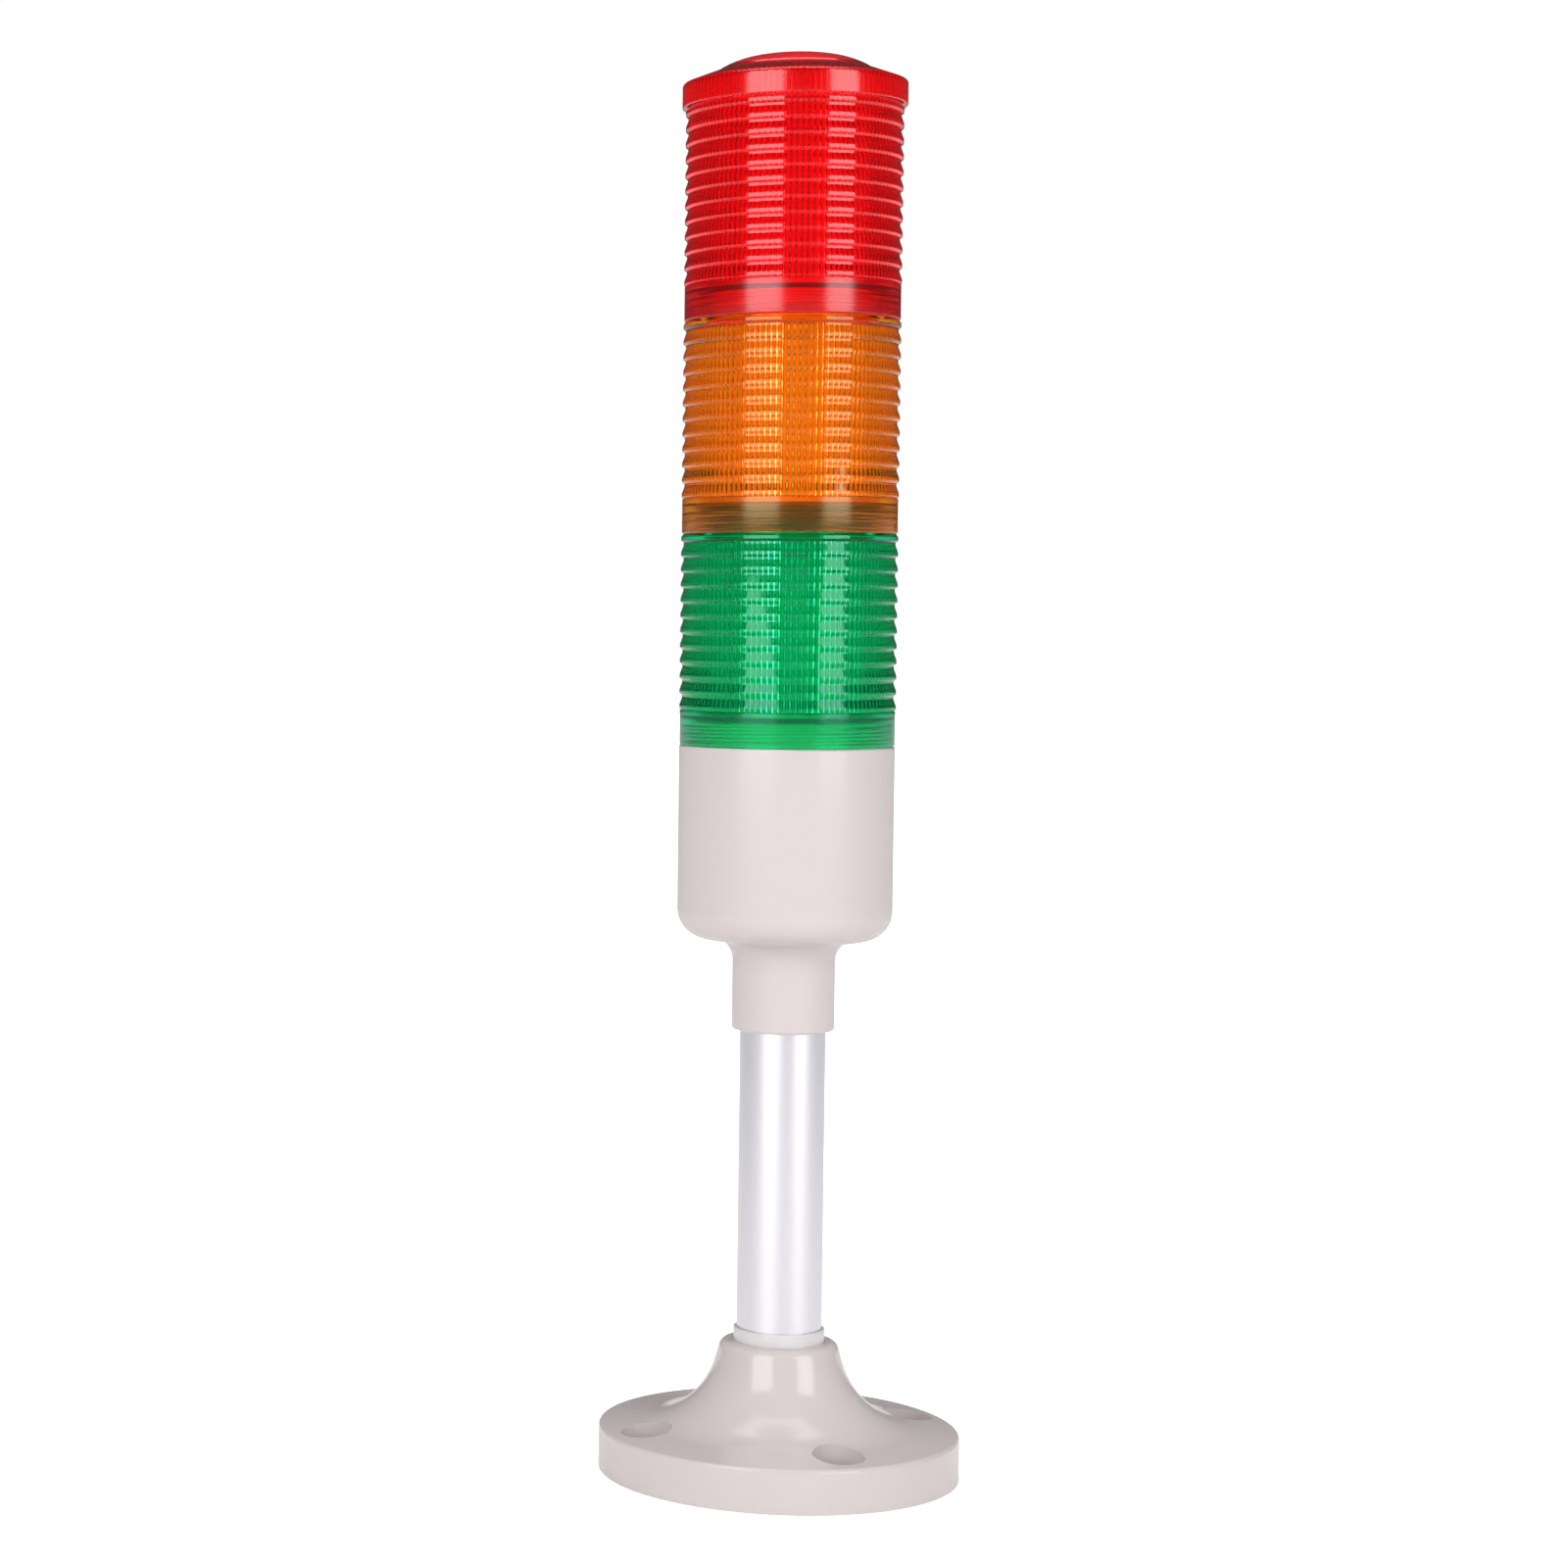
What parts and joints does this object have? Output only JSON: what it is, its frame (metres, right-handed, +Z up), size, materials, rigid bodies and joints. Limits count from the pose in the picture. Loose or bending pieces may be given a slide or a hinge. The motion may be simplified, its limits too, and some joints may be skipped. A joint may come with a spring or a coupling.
{
  "type": "stack light",
  "caption": "Pole-mounted signal tower: ribbed red, amber and green lens tiers screwed together on a pale housing, aluminium pole and flared round foot.",
  "frame": {"origin": "centre of the foot's underside, on the tower's axis", "axes": "+Z up along the tower's axis; -Y is the side that the picture shows"},
  "size_m": [0.0846, 0.0846, 0.3339],
  "materials": {
    "housing_plastic": "glossy pale warm grey moulding",
    "pole_metal": "drawn and polished tube",
    "plated_steel": "zinc plated",
    "pale_seal": "pale grey elastomer, satin",
    "seal_rubber": "black elastomer, matt",
    "board_laminate": "white solder resist on glass laminate",
    "connector_plastic": "green moulded connector",
    "black_plastic": "black moulded package",
    "white_plastic": "white matt moulding",
    "led_body": "white package with yellow phosphor",
    "green_lens": "clear tinted moulding, glossy",
    "amber_lens": "clear tinted moulding, glossy",
    "red_lens": "clear tinted moulding, glossy"
  },
  "bodies": {
    "base": {"foot_flange": "housing_plastic", "pole_seal": "pale_seal", "pole_tube": "pole_metal", "foot_washer": "plated_steel", "foot_nut": "plated_steel", "neck_washer": "plated_steel", "neck_nut": "plated_steel", "body_housing": "housing_plastic", "control_board": "board_laminate", "terminal_block": "connector_plastic", "filter_capacitor": "black_plastic", "bridge_rectifier": "black_plastic", "driver_chips": "black_plastic", "board_screws": "plated_steel", "led_mast": "white_plastic", "strip_sockets": "connector_plastic", "mast_cap": "white_plastic", "led_strip_1": "board_laminate", "led_strip_2": "board_laminate", "led_strip_3": "board_laminate", "green_leds": "led_body", "amber_leds": "led_body", "red_leds": "led_body", "amber_baffle": "white_plastic", "red_baffle": "white_plastic"},
    "green_seal_ring": {"green_seal": "seal_rubber"},
    "green_tier": {"green_lens": "green_lens"},
    "amber_seal_ring": {"amber_seal": "seal_rubber"},
    "amber_tier": {"amber_lens": "amber_lens"},
    "red_seal_ring": {"red_seal": "seal_rubber"},
    "red_tier": {"red_lens": "red_lens"}
  },
  "joints": [
    {"name": "green_lift", "type": "slide", "parent": "base", "child": "green_seal_ring", "axis": [0, 0, 1], "range_m": [0, 0.0052]},
    {"name": "green_unscrew", "type": "hinge", "parent": "green_seal_ring", "child": "green_tier", "pos_m": [0, 0, 0.18], "axis": [0, 0, 1], "range_deg": [0, 1080]},
    {"name": "amber_lift", "type": "slide", "parent": "green_tier", "child": "amber_seal_ring", "axis": [0, 0, 1], "range_m": [0, 0.0052]},
    {"name": "amber_unscrew", "type": "hinge", "parent": "amber_seal_ring", "child": "amber_tier", "pos_m": [0, 0, 0.23], "axis": [0, 0, 1], "range_deg": [0, 1080]},
    {"name": "red_lift", "type": "slide", "parent": "amber_tier", "child": "red_seal_ring", "axis": [0, 0, 1], "range_m": [0, 0.0052]},
    {"name": "red_unscrew", "type": "hinge", "parent": "red_seal_ring", "child": "red_tier", "pos_m": [0, 0, 0.28], "axis": [0, 0, 1], "range_deg": [0, 1080]}
  ],
  "couplings": [
    {"joint": "green_lift", "follows": "green_unscrew", "m_per_rad": 0.00027056},
    {"joint": "amber_lift", "follows": "amber_unscrew", "m_per_rad": 0.00027056},
    {"joint": "red_lift", "follows": "red_unscrew", "m_per_rad": 0.00027056}
  ]
}
